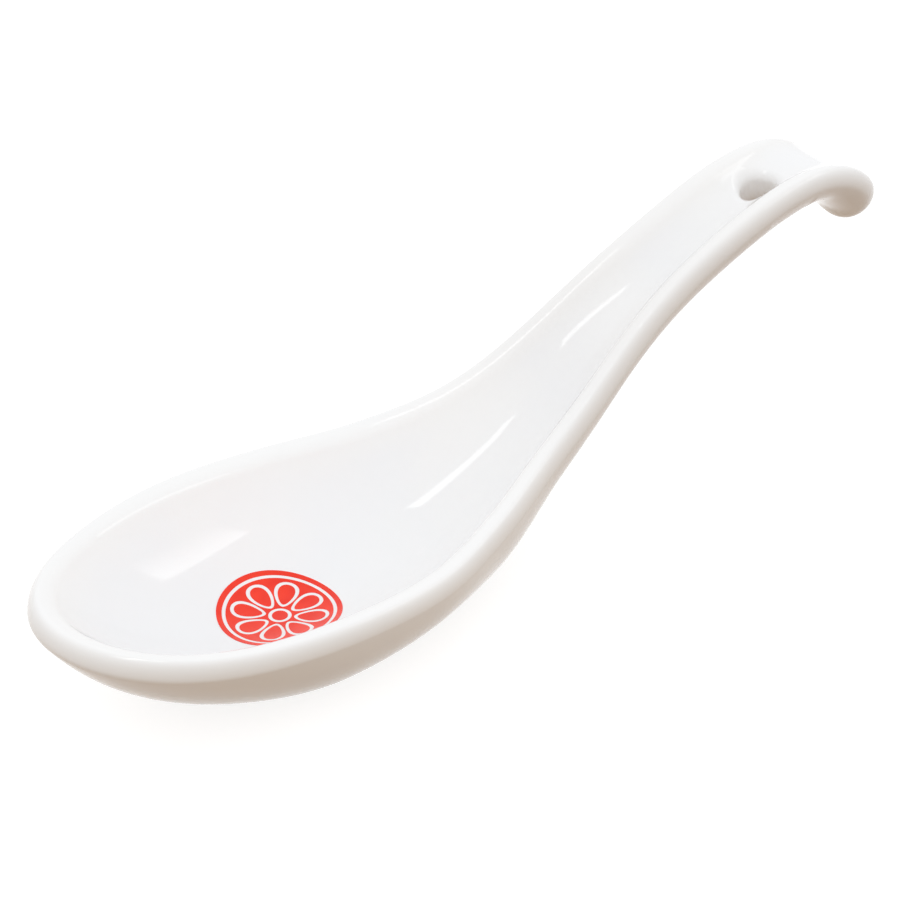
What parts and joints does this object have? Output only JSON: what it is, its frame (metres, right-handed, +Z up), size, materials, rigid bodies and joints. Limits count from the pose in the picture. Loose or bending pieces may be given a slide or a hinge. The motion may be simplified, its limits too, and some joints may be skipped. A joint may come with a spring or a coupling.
{
  "type": "soup spoon",
  "caption": "Glazed porcelain soup spoon with a deep pear-shaped bowl, a channelled handle, a hanging hole and a hooked end, and a red enamel medallion in the bowl.",
  "frame": {"origin": "on the flat of the foot, straight under the widest point of the bowl", "axes": "+X along the spoon to the handle, +Z up from the surface the foot stands on, Y across, with the spoon symmetric about y = 0"},
  "size_m": [0.1712, 0.054, 0.0522],
  "materials": {
    "porcelain": "clear gloss glaze, bare on the flat of the foot",
    "red_enamel": "gloss on-glaze enamel"
  },
  "bodies": {
    "root": {"spoon_body": "porcelain", "enamel_border": "red_enamel", "enamel_field": "red_enamel", "enamel_petals": "red_enamel", "enamel_heart": "red_enamel"}
  },
  "joints": []
}
